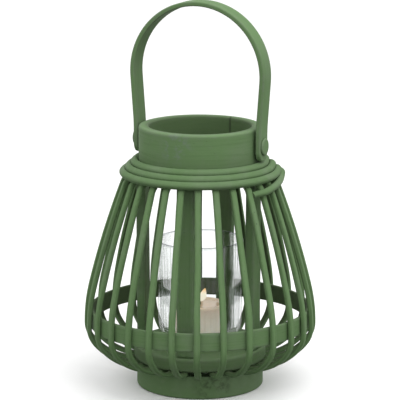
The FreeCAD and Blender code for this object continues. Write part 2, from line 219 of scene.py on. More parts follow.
class LanternColours(PropertyGroup):
    """Colours of the lantern's finishes."""
    paint: colour("Paint", "Matt green paint", (0.118, 0.208, 0.084))
    # Painted shade: a darker copy of the paint for the cane and the foot, standing in for the shade on them.
    deep_paint: colour("Deep paint", "Darker paint on the cane and the foot", (0.098, 0.172, 0.070))
    worn: colour("Worn paint", "Dusty grey green where the paint is thin", (0.150, 0.205, 0.125))
    dust: colour("Dust", "Greyish blue bloom on the paint", (0.165, 0.205, 0.175))
    # Also used as painted shade on the ribs' rounded edges.
    shade: colour("Shaded paint", "Darker green in the grain", (0.075, 0.140, 0.052))
    # Painted shade, partly: this dark tone goes on the inner faces, the floor disc and the collar just above
    # the cane, both as thinner paint and as the shade inside the cage.
    inside: colour("Inner paint", "Dark olive of the inner faces", (0.045, 0.068, 0.028))
    chip: colour("Chips", "Dark wood in chips and cracks", (0.022, 0.028, 0.014))
    bare_wood: colour("Bare wood", "Unpainted dowels", (0.50, 0.34, 0.18))
    steel: colour("Steel", "Plated screws and washers", (0.56, 0.57, 0.58))
    glass: colour("Glass", "Clear glass", (0.958, 0.968, 0.965))
    # Painted shade: the grey the glass takes edge on and along its rim.
    glass_edge: colour("Glass edge", "Glass seen edge on", (0.52, 0.54, 0.55))
    wax: colour("Wax", "Cream wax", (0.90, 0.83, 0.70))
    melt: colour("Melted wax", "Wax that is wet and see-through", (0.38, 0.29, 0.19))
    glow: colour("Glow", "Warm light inside the wax", (1.00, 0.42, 0.14))
    char: colour("Char", "Burnt wick", (0.012, 0.010, 0.009))
    flame_tip: colour("Flame tip", "The flame's tip", (1.00, 0.62, 0.24))
    flame_heart: colour("Flame heart", "The flame's bright body", (0.95, 0.88, 0.70))
    floor: colour("Floor", "Pale studio floor", (0.92, 0.92, 0.92))


class StageSettings(PropertyGroup):
    """The camera and the studio light."""
    lens: FloatProperty(name="Lens", description="Focal length in millimetres", default=200.0)
    azimuth: angle("Azimuth", "Camera angle round the lantern", 24.0)
    elevation: angle("Elevation", "Camera angle above the floor", 12.2)
    distance: length("Distance", "Camera distance from the aim point", 2.107)
    aim_height: length("Aim height", "Height of the aim point", 0.1786)
    sky: number("Sky strength", "Strength of the white surroundings", 1.12)
    ground: number("Ground strength", "Strength of the surroundings from below", 0.10)
    key: number("Key power", "Power of the large soft light, in watts", 22.0)
    key_azimuth: angle("Key azimuth", "Angle of the key light round the lantern", 60.0)
    key_elevation: angle("Key elevation", "Angle of the key light above the floor", 62.0)
    key_width: length("Key width", "Width of the key light", 1.6)
    key_distance: length("Key distance", "Distance of the key light", 2.0)
    flame_light: number("Flame light", "Power of the light at the flame, in watts", 0.002)


# Shapes.  In the lists of fixed values, lengths are in metres and angles in radians; a spacing is
# the distance between an outline's points, and a pole is the ring inside the fan that closes a piece.

CORNER_STEPS = 5
FLAT_SHARES = np.array([0.14, 0.5, 0.86])
ARC_STEP = 0.22
LEAST_ARC_STEPS = 4
SAME_PLACE = 1e-9


def wander(place, seed, size, waves=4):
    """A smooth uneven curve: a sum of sines of rising frequency, each with its own chance phase."""
    chance = np.random.default_rng(seed)
    phase = chance.uniform(0, FULL_TURN, waves)
    turns = np.arange(1, waves + 1)
    weight = chance.uniform(0.4, 1.0, waves) / turns
    waves_at = np.sin(FULL_TURN * np.multiply.outer(place, turns) + phase)
    return size * (waves_at * weight).sum(-1) / weight.sum()


def smooth_step(value):
    """Rises from 0 to 1 with level ends: 3 t squared minus 2 t cubed."""
    t = np.clip(value, 0, 1)
    return t * t * (3 - 2 * t)


def hump(value, middle, spread):
    """A smooth hump: the exponential of minus the square of the distance from its middle."""
    return np.exp(-((value - middle) / spread) ** 2)


def full_circle(steps):
    """Evenly spaced angles round a full turn."""
    return np.linspace(0, FULL_TURN, steps, endpoint=False)


def running_sum(steps):
    """The sum of all the steps before each station, from 0 on."""
    return np.concatenate([[0], np.cumsum(steps)])


def distance_along(line):
    """The distance walked along a line of points."""
    return running_sum(np.linalg.norm(np.diff(line, axis=0), axis=1))


def bent_line(start_x, start_z, heading, moves, count):
    """Points and headings along straight runs and arcs that join smoothly.

    The heading grows evenly with distance along an arc and stays the same along a straight run.
    The points are the running sum of short steps, each in the heading half way along it.
    """
    stops = running_sum([size * abs(turn) if turn else size for size, turn in moves])
    headings = heading + running_sum([turn for _, turn in moves])
    distance = np.linspace(0, stops[-1], count)
    half_way = np.interp((distance[1:] + distance[:-1]) / 2, stops, headings)
    step = np.diff(distance)
    x = start_x + running_sum(step * np.cos(half_way))
    z = start_z + running_sum(step * np.sin(half_way))
    return distance, x, z, np.interp(distance, stops, headings)


def strip_section(width, thickness, rounding):
    """A rounded rectangle at every station of a strip: across, through and edge weight.

    Each corner is its centre plus the rounding times the unit circle, and each flat between two
    corners has three points of its own.  The edge weight is 1 on a corner and 0 on a flat.
    """
    quarter = np.linspace(0, math.pi / 2, CORNER_STEPS)
    signs = ((1, 1), (-1, 1), (-1, -1), (1, -1))
    across, through, edge = [], [], []
    for index, (side, face) in enumerate(signs):
        turn = quarter + index * math.pi / 2
        next_side, next_face = signs[(index + 1) % 4]
        for found, size, sign, next_sign, wave in ((across, width, side, next_side, np.cos(turn)),
                                                   (through, thickness, face, next_face, np.sin(turn))):
            arc = sign * (size / 2 - rounding) + rounding * wave
            following = next_sign * (size / 2 - rounding) + rounding * wave[-1]
            found += [arc, arc[:, -1:] * (1 - FLAT_SHARES) + following * FLAT_SHARES]
        edge += [np.ones(CORNER_STEPS), np.zeros(len(FLAT_SHARES))]
    return np.hstack(across), np.hstack(through), np.concatenate(edge)


def strip_grid(line, out, across, through):
    """A section carried along a line: the line's point, plus across along Y, plus through times out."""
    return line[:, None, :] + across[:, :, None] * [0.0, 1.0, 0.0] + through[:, :, None] * out[:, None, :]


def normals(heading):
    """The directions in the XZ plane that stand at right angles to the headings."""
    return np.stack([-np.sin(heading), np.zeros_like(heading), np.cos(heading)], 1)


def near_face(through, half_thickness):
    """The square of the way from the middle of a strip to one of its faces."""
    return np.clip(through / half_thickness, 0, 1) ** 2


def rounded_outline(corners, spacing):
    """An outline of (x, y, rounding) corners with tangent arcs, and an edge weight for each point.

    An arc is its centre plus the radius times a unit vector that swings evenly from one tangent
    point to the other.  Straight runs get extra points at the given spacing.
    """
    points = np.array([corner[:2] for corner in corners], float)
    pieces, weights = [], []
    for index, (x, y, rounding) in enumerate(corners):
        here = points[index]
        if not rounding:
            pieces.append(here[None])
            weights.append([0.0])
            continue
        back = points[index - 1] - here
        ahead = points[(index + 1) % len(points)] - here
        back /= np.linalg.norm(back)
        ahead /= np.linalg.norm(ahead)
        opening = math.acos(float(np.clip(back @ ahead, -1, 1)))
        bisector = (back + ahead) / np.linalg.norm(back + ahead)
        centre = here + bisector * rounding / math.sin(opening / 2)
        reach = rounding / math.tan(opening / 2)
        swing = math.pi - opening
        share = np.linspace(0, 1, max(LEAST_ARC_STEPS, int(swing / ARC_STEP)))[:, None]
        first = (here + back * reach - centre) / rounding
        last = (here + ahead * reach - centre) / rounding
        turn = (np.sin((1 - share) * swing) * first + np.sin(share * swing) * last) / math.sin(swing)
        pieces.append(centre + rounding * turn)
        weights.append([1.0] * len(share))
    outline = np.vstack(pieces)
    walked = distance_along(outline)
    stations = np.union1d(walked, np.arange(0, walked[-1], spacing))
    gap = np.abs(stations[:, None] - walked[None, :]).min(1)
    kept = (gap < SAME_PLACE) | (gap > spacing / 4)
    stations = stations[kept]
    full = np.stack([np.interp(stations, walked, outline[:, axis]) for axis in (0, 1)], 1)
    edge = np.interp(stations, walked, np.concatenate(weights)) * (gap[kept] < SAME_PLACE)
    return full, stations, edge


def ring_outline(inner, outer, low, high, roundings, spacing):
    """A ring's profile, from the middle of its underside up the outside and down the inside."""
    foot, rim, mouth = roundings
    middle = (outer + inner) / 2
    corners = [(middle, low, 0), (outer, low, foot), (outer, high, rim), (inner, high, mouth),
               (inner, low, foot), (middle, low, 0)]
    outline, walked, edge = rounded_outline(corners, spacing)
    return outline[:-1, 0:1], outline[:-1, 1:2], walked, edge[:-1, None]


def turned_grid(radius, height, turn):
    """A profile turned about the vertical axis: radius times cosine and sine of the turn, and height."""
    x, y = radius * np.cos(turn), radius * np.sin(turn)
    return np.stack([x, y, np.broadcast_to(height, x.shape)], -1)


def rotated(grid, turn):
    """A grid turned about the vertical axis."""
    cosine, sine = np.cos(turn), np.sin(turn)
    x, y, z = grid[..., 0], grid[..., 1], grid[..., 2]
    return np.stack([x * cosine - y * sine, x * sine + y * cosine, z], -1)


def leaning_rings(lean, height, bearing_angle, radius, steps):
    """Level circles on a leaning line: lean times the bearing, plus radius times the unit circle."""
    turn = full_circle(steps)
    line = np.stack([lean * math.cos(bearing_angle), lean * math.sin(bearing_angle), height], 1)
    circle = np.stack([np.cos(turn), np.sin(turn), np.zeros(steps)], 1)
    return line[:, None, :] + radius[:, None, None] * circle


def added(name, data):
    """Adds an object to the scene."""
    thing = bpy.data.objects.new(name, data)
    bpy.context.scene.collection.objects.link(thing)
    return thing


def skin(name, grid, row_place, girth, looped=False, along="rows", weights=None):
    """A mesh over a grid of points whose columns close on themselves.

    Rows close too when looped; otherwise a fan closes each end.  row_place holds the rows'
    distances over the surface, one more than the rows where these close, and girth is the
    distance round the columns.  The texture map runs along the rows or columns, as named.
    weights are per-point numbers kept as attributes.
    """
    rows, columns = grid.shape[:2]
    column_place = np.linspace(0, girth, columns + 1)
    row_faces = rows if looped else rows - 1
    row, column = np.meshgrid(np.arange(row_faces), np.arange(columns), indexing="ij")
    row, column = row.ravel(), column.ravel()
    next_row, next_column = (row + 1) % rows, (column + 1) % columns
    quads = np.stack([row * columns + column, row * columns + next_column,
                      next_row * columns + next_column, next_row * columns + column], 1)
    corner_rows = np.stack([row, row, row + 1, row + 1], 1)
    corner_columns = np.stack([column, column + 1, column + 1, column], 1)
    points = grid.reshape(-1, 3)
    faces = quads.tolist()
    maps = [np.stack([row_place[corner_rows], column_place[corner_columns]], -1).reshape(-1, 2)]
    if not looped:
        ring = np.arange(columns)
        following = (ring + 1) % columns
        for end_row, first, second in ((0, following, ring), (rows - 1, ring, following)):
            centre = len(points)
            points = np.vstack([points, grid[end_row].mean(0)])
            base = end_row * columns
            faces += np.stack([base + first, base + second, np.full(columns, centre)], 1).tolist()
            fan = np.stack([np.full(columns, row_place[end_row])] * 3, 1)
            around = np.stack([column_place[:-1], column_place[1:], column_place[1:]], 1)
            maps.append(np.stack([fan, around], -1).reshape(-1, 2))
    corner_map = np.vstack(maps)
    if along == "columns":
        corner_map = corner_map[:, ::-1]
    first, second, third, fourth = (points[quads[:, index]] for index in range(4))
    volume = (np.cross(second, third) * first).sum() + (np.cross(third, fourth) * first).sum()
    mesh = bpy.data.meshes.new(name)
    mesh.from_pydata(points.tolist(), [], faces)
    mesh.uv_layers.new(name="UVMap").data.foreach_set("uv", corner_map.ravel())
    for key, values in (weights or {}).items():
        spread = np.broadcast_to(values, (rows, columns)).ravel()
        spread = np.concatenate([spread, np.full(len(points) - len(spread), spread.mean())])
        mesh.attributes.new(key, "FLOAT", "POINT").data.foreach_set("value", spread)
    if volume < 0:
        mesh.flip_normals()
    mesh.shade_smooth()
    return added(name, mesh)


def place(piece, body, slot, material, *nodes):
    """Gives a piece its body and finish, and hides the nodes that it stands for.  Its slot is not used."""
    piece.data.materials.append(material)
    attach(piece, body)
    if nodes:
        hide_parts(*nodes)


def dress(node, material):
    """Gives a node of the frame its finish."""
    slots = frame["nodes"][node].data.materials
    slots.clear()
    slots.append(material)


# Finishes

WHITE = (1.0, 1.0, 1.0)
BLACK = (0.0, 0.0, 0.0)
BLOTCHES_PER_METRE = 26.0
MOTTLES_PER_METRE = 170.0
CLOUDS_PER_METRE = 95.0
CHIPS_ALONG = 260.0
CHIPS_ACROSS = 480.0


class Value:
    """One output of a finish's nodes.  Arithmetic on values adds Math nodes."""

    def __init__(self, finish, socket):
        self.finish = finish
        self.socket = socket

    def __add__(self, other):
        return self.finish.maths("ADD", self, other)

    def __sub__(self, other):
        return self.finish.maths("SUBTRACT", self, other)

    def __rsub__(self, other):
        return self.finish.maths("SUBTRACT", other, self)

    def __mul__(self, other):
        return self.finish.maths("MULTIPLY", self, other)

    __radd__ = __add__
    __rmul__ = __mul__

    def between(self, low, high):
        """0 below the low value, 1 above the high one and a smooth rise between."""
        return self.finish.node("ShaderNodeMapRange", {"interpolation_type": "SMOOTHSTEP"},
                                {"Value": self, "From Min": low, "From Max": high})


class Finish:
    """A procedural material, or the surroundings, being put together."""

    def __init__(self, name, store=bpy.data.materials):
        self.made = store.new(name)
        self.made.use_nodes = True
        self.tree = self.made.node_tree
        self.tree.nodes.clear()

    def node(self, kind, settings=None, sockets=None, output=0):
        """Adds a node, sets its settings first and then its sockets, and gives one of its outputs."""
        made = self.tree.nodes.new(kind)
        for key, value in (settings or {}).items():
            setattr(made, key, value)
        for key, value in (sockets or {}).items():
            if isinstance(value, Value):
                self.tree.links.new(value.socket, made.inputs[key])
            else:
                made.inputs[key].default_value = value
        return Value(self, made.outputs[output])

    def maths(self, operation, first, second):
        """A Math node."""
        return self.node("ShaderNodeMath", {"operation": operation}, {0: first, 1: second})

    def tone(self, tone):
        """A colour for a socket, from the name of one of the lantern's colours, a colour or a value."""
        if isinstance(tone, Value):
            return tone
        if isinstance(tone, str):
            tone = getattr(bpy.context.scene.lantern_colours, tone)
        return (*tone, 1.0)

    def blend(self, factor, first, second):
        """Mixes two colours."""
        return self.node("ShaderNodeMix", {"data_type": "RGBA"},
                         {0: factor, 6: self.tone(first), 7: self.tone(second)}, output=2)

    def object_place(self):
        """The point in the object's own space."""
        return self.node("ShaderNodeTexCoord", output="Object")

    def stretched(self, place_at, *scale):
        """A point in stretched units."""
        return self.node("ShaderNodeMapping", {}, {"Vector": place_at, "Scale": scale})

    def surface_place(self, along, across):
        """The point on the surface map, in stretched units along and across the grain."""
        return self.stretched(self.node("ShaderNodeUVMap", {"uv_map": "UVMap"}), along, across, 1.0)

    def weight(self, name):
        """A number kept with the mesh's points."""
        return self.node("ShaderNodeAttribute", {"attribute_name": name}, output="Fac")

    def noise(self, place_at, scale, detail, roughness=0.5):
        """Noise from 0 to 1."""
        return self.node("ShaderNodeTexNoise", {}, {"Vector": place_at, "Scale": scale, "Detail": detail,
                                                    "Roughness": roughness})

    def bump(self, height, strength, distance):
        """A bumped normal."""
        return self.node("ShaderNodeBump", {}, {"Height": height, "Strength": strength,
                                                "Distance": distance})

    def finished(self, shader, kind="ShaderNodeOutputMaterial"):
        """Ends the nodes with their shader."""
        output = self.tree.nodes.new(kind)
        self.tree.links.new(shader.socket, output.inputs["Surface"])
        return self.made

    def surfaced(self, sockets):
        """Ends the nodes with a Principled surface."""
        return self.finished(self.node("ShaderNodeBsdfPrincipled", {}, sockets))


def painted(name, grain_along, grain_across, streaks, wear, edge_tone="worn", stain=None, tone="paint"):
    """Matt paint over grain: blotches, streaks along the grain, edges worn thin or darkened as painted
    shade, inner faces darkened partly as painted shade, dark seams that on the rivets are a painted contact
    shadow, and small dark chips.

    A stain is (centre, radius, tone): clouds of another tone round a place on the piece.
    """
    finish = Finish(name)
    spot = finish.object_place()
    grain = finish.noise(finish.surface_place(grain_along, grain_across), 1.0, 5.0, 0.6)
    blotches = finish.noise(spot, BLOTCHES_PER_METRE, 3.0)
    mottling = finish.noise(spot, MOTTLES_PER_METRE, 4.0)
    chips = finish.noise(finish.surface_place(CHIPS_ALONG, CHIPS_ACROSS), 1.0, 2.0).between(0.735, 0.765)
    tint = finish.blend(blotches.between(0.46, 0.72) * wear, tone, "worn")
    tint = finish.blend(grain.between(0.44, 0.74) * streaks, tint, "shade")
    tint = finish.blend(mottling.between(0.50, 0.78) * 0.26, tint, "worn")
    # Edges take the edge tone: the worn tone shows paint worn thin, the shaded tone on the ribs is painted
    # shade on their rounded edges, and on the cane it darkens the knots.
    edge_wear_and_shade = finish.weight("edge") * (0.15 + mottling.between(0.36, 0.62) * 0.35)
    tint = finish.blend(edge_wear_and_shade, tint, edge_tone)
    if stain:
        centre, radius, cloud_tone = stain
        away = finish.node("ShaderNodeVectorMath", {"operation": "DISTANCE"}, {0: spot, 1: centre},
                           output=1)
        cloud = finish.noise(spot, CLOUDS_PER_METRE, 6.0, 0.7).between(0.44, 0.62)
        tint = finish.blend((1.0 - away.between(0.3 * radius, radius)) * cloud * 0.60, tint, cloud_tone)
    # Inner faces and the floor disc take the dark inner tone: partly thinner paint, partly painted shade
    # inside the cage.
    tint = finish.blend(finish.weight("inner") * 0.82, tint, "inside")
    # The seam weight darkens real seams, cracks and cut ends, and on the rivets it is a painted contact
    # shadow.
    tint = finish.blend(finish.weight("seam") * 0.85, tint, "chip")
    tint = finish.blend(chips * 0.75, tint, "chip")
    relief = grain * 0.55 + mottling * 0.30 - chips * 0.5
    return finish.surfaced({
        "Base Color": tint,
        "Roughness": 0.66 + grain * 0.18 + mottling * 0.06,
        "Specular IOR Level": 0.28,
        "Normal": finish.bump(relief, 0.40, 0.0005),
    })


def bare_wood():
    """Pale unpainted dowel wood with long grain."""
    finish = Finish("bare_wood")
    grain = finish.noise(finish.stretched(finish.object_place(), 900.0, 900.0, 60.0), 1.0, 4.0)
    return finish.surfaced({
        "Base Color": finish.blend(grain.between(0.35, 0.7) * 0.5, "bare_wood", "shade"),
        "Roughness": 0.6 + grain * 0.2,
        "Normal": finish.bump(grain, 0.3, 0.0002),
    })


def plated_steel():
    """Dull plated steel with fine scratches."""
    finish = Finish("plated_steel")
    scratches = finish.noise(finish.stretched(finish.object_place(), 3000.0, 400.0, 400.0), 1.0, 3.0)
    return finish.surfaced({
        "Base Color": finish.tone("steel"),
        "Metallic": 1.0,
        "Roughness": 0.28 + scratches * 0.25,
        "Normal": finish.bump(scratches, 0.15, 0.0001),
    })


def clear_glass():
    """Clear glass: see-through, greyer where it is seen edge on and along its rim as painted shade, with
    mirrored highlights.
    """
    finish = Finish("clear_glass")
    ripple = finish.noise(finish.object_place(), 35.0, 1.0)
    normal = finish.bump(ripple, 0.04, 0.0008)
    facing = finish.node("ShaderNodeLayerWeight", {}, {"Blend": 0.5}, output=1)
    # Painted shade: the glass turns grey where it is seen edge on and along the rim.
    edge_on_shade = finish.maths("MAXIMUM", facing.between(0.76, 1.0), finish.weight("rim") * 0.75)
    clear = finish.node("ShaderNodeBsdfTransparent", {}, {"Color": finish.tone("glass")})
    grey = finish.node("ShaderNodeBsdfTransparent", {}, {"Color": finish.tone("glass_edge")})
    gloss = finish.node("ShaderNodeBsdfGlossy", {}, {"Color": finish.tone(WHITE), "Roughness": 0.03,
                                                     "Normal": normal})
    body = finish.node("ShaderNodeMixShader", {}, {0: edge_on_shade, 1: clear, 2: grey})
    mirror = finish.node("ShaderNodeFresnel", {}, {"IOR": 1.45, "Normal": normal})
    return finish.finished(finish.node("ShaderNodeMixShader", {}, {0: mirror * 0.42, 1: body, 2: gloss}))


def candle_wax():
    """Cream wax with a painted glow all over that is warmer near the flame, and wet where it has melted."""
    finish = Finish("candle_wax")
    cloud = finish.noise(finish.object_place(), 90.0, 3.0)
    near = finish.weight("near_flame")
    melted = finish.weight("melted")
    cloudy_wax = tuple(0.86 * channel for channel in bpy.context.scene.lantern_colours.wax)
    tint = finish.blend(cloud.between(0.35, 0.7) * 0.35, "wax", cloudy_wax)
    tint = finish.blend(near * 0.45, tint, "melt")
    tint = finish.blend(melted * 0.85, tint, "melt")
    return finish.surfaced({
        "Base Color": tint,
        "Roughness": 0.48 - melted * 0.38,
        "Subsurface Weight": 0.25,
        "Subsurface Radius": (0.006, 0.003, 0.0015),
        "Subsurface Scale": 1.0,
        # Painted light: the whole candle gives off a faint glow, warmer near the flame.
        "Emission Color": finish.blend(near * 0.5, "wax", "glow"),
        "Emission Strength": 0.15,
        "Normal": finish.bump(cloud, 0.12, 0.0004),
    })


def burnt_wick():
    """Charred cotton with an ember at the tip."""
    finish = Finish("burnt_wick")
    strands = finish.noise(finish.surface_place(900.0, 4000.0), 1.0, 3.0)
    ash = (0.05, 0.04, 0.035)
    return finish.surfaced({
        "Base Color": finish.blend(strands.between(0.4, 0.7), "char", ash),
        "Roughness": 0.85,
        "Emission Color": finish.blend(finish.weight("ember"), BLACK, "glow"),
        "Emission Strength": 2.0,
        "Normal": finish.bump(strands, 0.6, 0.0003),
    })


def candle_flame():
    """A glowing flame, clear at its foot, bright in its body and orange at its tip."""
    finish = Finish("candle_flame")
    rise = finish.weight("rise")
    return finish.surfaced({
        "Base Color": finish.tone(BLACK),
        "Roughness": 1.0,
        "Specular IOR Level": 0.0,
        "Emission Color": finish.blend(rise.between(0.55, 1.0), "flame_heart", "flame_tip"),
        "Emission Strength": 1.0,
        "Alpha": rise.between(0.0, 0.22) * (1.0 - rise.between(0.86, 1.0) * 0.6),
    })


def studio_floor():
    """A plain pale floor."""
    finish = Finish("studio_floor")
    speck = finish.noise(finish.object_place(), 4.0, 2.0)
    return finish.surfaced({"Base Color": finish.tone("floor"), "Roughness": 0.7 + speck * 0.1})


# The cage

RIB_STEPS = 150
RIB_TWIST = 0.05
RIB_UNEVENNESS = 0.045
GRAIN_SHIFT = 0.37
CANE_STEPS = 1100
CANE_SIDES = 24
CANE_UNEVENNESS = 0.02
CANE_GAP = 0.0003
RAISE_FADE = 0.25
DIVE_START = 0.78
DIVE_RUN = 0.22
KNOT_SPACING = 0.231
FIRST_KNOT = 0.118
KNOT_SPREAD = 0.0028
KNOT_SWELL = 0.03
CUT_LENGTH = 0.0002
CUT_SIZE = 0.93
OVAL_POWER = 0.8
OVAL_WIDENING = 0.0001
SPLIT_ANGLE = 0.25
SPLIT_SPREAD = 0.10
SPLIT_START = 0.990
SPLIT_RUN = 0.006
HOOP_STEPS = 240
HOOP_SPACING = 0.0022
HOOP_WAVER = 0.0004
HOOP_LIFT = 0.0008


def rib_moves(cage):
    """A rib's middle line as (size, turn) moves, from its foot end up to the collar.

    The two bends under the belly are found from the drop and the run that they must cover, and
    the long bend of the flank from the two places that it must join.
    """
    half = cage.rib_thickness / 2
    run = cage.belly_radius - half_width("foot_ring")
    drop = cage.belly_height - top("foot_ring")
    tight = cage.lower_bend
    wide = ((run - tight) ** 2 + drop ** 2 - tight ** 2) / (2 * (drop - tight))
    tight_turn = math.asin((wide - drop) / (wide - tight))

    shoulder_radius = half_width("collar") + cage.shoulder_reach
    shoulder_height = bottom("collar") - cage.shoulder_drop
    whole_lean = math.atan2(cage.belly_radius - shoulder_radius, shoulder_height - cage.belly_height)
    belly_lean = cage.belly_lean * whole_lean
    flank_radius = cage.belly_radius - cage.upper_bend * (1 - math.cos(belly_lean))
    flank_height = cage.belly_height + cage.upper_bend * math.sin(belly_lean)
    across = flank_radius - shoulder_radius
    rise = shoulder_height - flank_height
    flank_turn = 2 * (math.atan2(across, rise) - belly_lean)
    flank_bend = math.hypot(across, rise) / (2 * math.sin(flank_turn / 2))
    top_lean = belly_lean + flank_turn
    bend_out = cage.shoulder_bend * (math.cos(top_lean) - math.cos(cage.shoulder_lean))
    straight = (cage.shoulder_reach - bend_out) / math.sin(cage.shoulder_lean)
    return [
        (cage.foot_wall, 0),
        (wide - half, math.pi / 2 - tight_turn),
        (tight - half, tight_turn),
        (cage.upper_bend - half, belly_lean),
        (flank_bend - half, flank_turn),
        (cage.shoulder_bend - half, cage.shoulder_lean - top_lean),
        (straight, 0),
    ]


def bent_rib(node, seed, material):
    """One bent rib: a rounded strip carried along its line, which strays a little to the side.

    A section point is the line's point, plus across times the tangent of the lantern's round,
    plus through times the inward normal, all turned to the rib's own angle.
    """
    cage = bpy.context.scene.cage_sizes
    start_x = half_width("foot_ring") - cage.foot_wall
    start_z = top("foot_ring") + cage.rib_thickness / 2
    distance, x, z, heading = bent_line(start_x, start_z, 0.0, rib_moves(cage), RIB_STEPS)
    share = distance / distance[-1]
    held = np.sin(math.pi * share)
    sway = wander(share, seed, cage.rib_sway) * held
    twist = (wander(share, seed + 100, RIB_TWIST, 2) * held)[:, None]
    width = cage.rib_width * (1 + wander(share, seed + 200, RIB_UNEVENNESS))[:, None]
    across, through, edge = strip_section(width, np.full_like(width, cage.rib_thickness),
                                          cage.rib_rounding)
    turned_across = across * np.cos(twist) - through * np.sin(twist)
    turned_through = across * np.sin(twist) + through * np.cos(twist)
    grid = strip_grid(np.stack([x, sway, z], 1), normals(heading), turned_across, turned_through)
    # Painted shade, partly: the rib's inner face takes the dark inner tone.
    inner = near_face(through[0], cage.rib_thickness / 2)
    piece = skin("bent_" + node, rotated(grid, bearing(node)), distance + seed * GRAIN_SHIFT,
                 2 * (cage.rib_width + cage.rib_thickness), weights={"edge": edge, "inner": inner})
    place(piece, "frame", "painted_cane", material, node)


def winding_path(cage):
    """The cane's line round the shoulder: its angle, radius and height, and how thick the cane is.

    Each turn keeps to its own groove and steps down to the next one at the back, where a smooth
    step blends the two.  After the last turn the cane is tucked under that turn, and then runs down
    and outwards across the ribs in a straight slant, until it dives in between two of them.
    """
    grooves = np.array([[half_width(node) - cage.cane_radius, (bottom(node) + top(node)) / 2]
                        for node in COIL_NODES])
    grooves = np.vstack([grooves, grooves[-1] + cage.tuck * (grooves[-1] - grooves[-2])])
    beside = (0.5 * cage.rib_width + CANE_GAP) / grooves[-1, 0]
    loose = cage.loose_start - bearing(STOP_RIB_NODE) - beside
    whole = 3 * FULL_TURN + cage.step_start - cage.loose_start + loose
    turned = np.linspace(0, whole, CANE_STEPS)
    laps = np.floor(turned / FULL_TURN)
    into_step = turned - laps * FULL_TURN
    groove = np.maximum(laps - 1 + smooth_step(into_step / (cage.step_start - cage.step_end)), 0)
    radius, height = (np.interp(groove, np.arange(len(grooves)), grooves[:, axis]) for axis in (0, 1))
    slant = np.clip((turned - whole + loose) / loose, 0, 1)
    angle_now = cage.step_start - turned
    off_raise = np.mod(angle_now - cage.raise_angle + math.pi, FULL_TURN) - math.pi
    lift = cage.cane_raise * hump(off_raise, 0, cage.raise_spread) * (1 - smooth_step(slant / RAISE_FADE))
    dive = cage.loose_dive * smooth_step((slant - DIVE_START) / DIVE_RUN)
    radius = radius + slant * cage.loose_flare - dive + 0.5 * lift * np.minimum(groove, 1)
    return angle_now, radius, height - slant * cage.loose_drop + lift, 1 - slant * cage.loose_taper


def squarish(wave):
    """A sine or cosine to a power below 1, with its sign kept."""
    return np.sign(wave) * np.abs(wave) ** OVAL_POWER


def cane_winding(material):
    """Three turns of cane in one length, with its loose end across the ribs.

    The section is a squarish oval, cosine and sine to a power below 1, that lies along the
    shoulder's slope.  Its size varies a little along the cane and swells at the knots, and it is
    carried along the line with the out direction at right angles to the line.
    """
    cage = bpy.context.scene.cage_sizes
    turn, radius, height, taper = winding_path(cage)
    line = turned_grid(radius, height, turn)
    tangent = np.gradient(line, axis=0)
    tangent /= np.linalg.norm(tangent, axis=1)[:, None]
    line = np.vstack([line, line[-1:] + tangent[-1:] * CUT_LENGTH])
    tangent = np.vstack([tangent, tangent[-1:]])
    turn = np.append(turn, turn[-1])
    taper = np.append(taper, taper[-1])
    lean = cage.shoulder_lean
    away = np.stack([np.cos(turn) * math.cos(lean), np.sin(turn) * math.cos(lean),
                     np.full_like(turn, math.sin(lean))], 1)
    away -= tangent * (away * tangent).sum(1)[:, None]
    away /= np.linalg.norm(away, axis=1)[:, None]
    along_slope = np.cross(tangent, away)
    walked = distance_along(line)
    share = walked / walked[-1]
    knots = hump(walked % KNOT_SPACING, FIRST_KNOT, KNOT_SPREAD)
    girth = taper * (1 + wander(share, 7, CANE_UNEVENNESS, 9) + KNOT_SWELL * knots)
    girth[-1] *= CUT_SIZE
    around = full_circle(CANE_SIDES)
    wide = (cage.cane_radius + OVAL_WIDENING) * squarish(np.cos(around))
    thick = (cage.cane_radius - 0.5 * cage.cane_flatness) * squarish(np.sin(around))
    grid = (line[:, None, :] + girth[:, None, None] * (wide[:, None] * along_slope[:, None, :]
                                                      + thick[:, None] * away[:, None, :]))
    split = hump(around, SPLIT_ANGLE, SPLIT_SPREAD) * smooth_step((share - SPLIT_START) / SPLIT_RUN)[:, None]
    cut = smooth_step((walked - walked[-1] + CUT_LENGTH) / (CUT_LENGTH / 2))[:, None]
    piece = skin("cane_winding", grid, walked, FULL_TURN * cage.cane_radius,
                 weights={"edge": 0.5 * knots[:, None], "inner": 0.0, "seam": np.maximum(split, 0.7 * cut)})
    place(piece, "frame", "painted_cane", material, *COIL_NODES, "cane_end")


def belly_hoop(material):
    """The flat hoop: a rounded rectangle turned about the axis, with a little unevenness."""
    cage = bpy.context.scene.cage_sizes
    outer = half_width("belly_hoop")
    radius, height, walked, edge = ring_outline(
        outer - cage.hoop_thickness, outer, bottom("belly_hoop"), top("belly_hoop"),
        [cage.hoop_rounding] * 3, HOOP_SPACING)
    turn = full_circle(HOOP_STEPS)
    waver = np.abs(wander(turn / FULL_TURN, 31, HOOP_WAVER))
    grid = turned_grid(radius - waver, height + wander(turn / FULL_TURN, 32, HOOP_LIFT, 2), turn)
    # Painted shade, partly: the hoop's inner face takes the dark inner tone.
    inside = smooth_step((outer - radius) / cage.hoop_thickness)
    piece = skin("belly_band", grid, walked, FULL_TURN * outer, looped=True, along="columns",
                 weights={"edge": edge, "inner": inside})
    place(piece, "frame", "painted_wood", material, "belly_hoop")


# The wooden pieces

DISC_STEPS = 160
DISC_SPACING = 0.003
DISC_POLE = 0.001
COLLAR_STEPS = 360
COLLAR_SPACING = 0.0025
COLLAR_WAVER = 0.00035
RIM_WAVER = 0.0003
RIM_REACH = 0.012
SEAM_RISE = 0.5
SEAM_FALL_START = 5.9
SEAM_FALL_RUN = 0.36
SEAM_FALL = 0.55
CRACK_SPREAD = 0.020
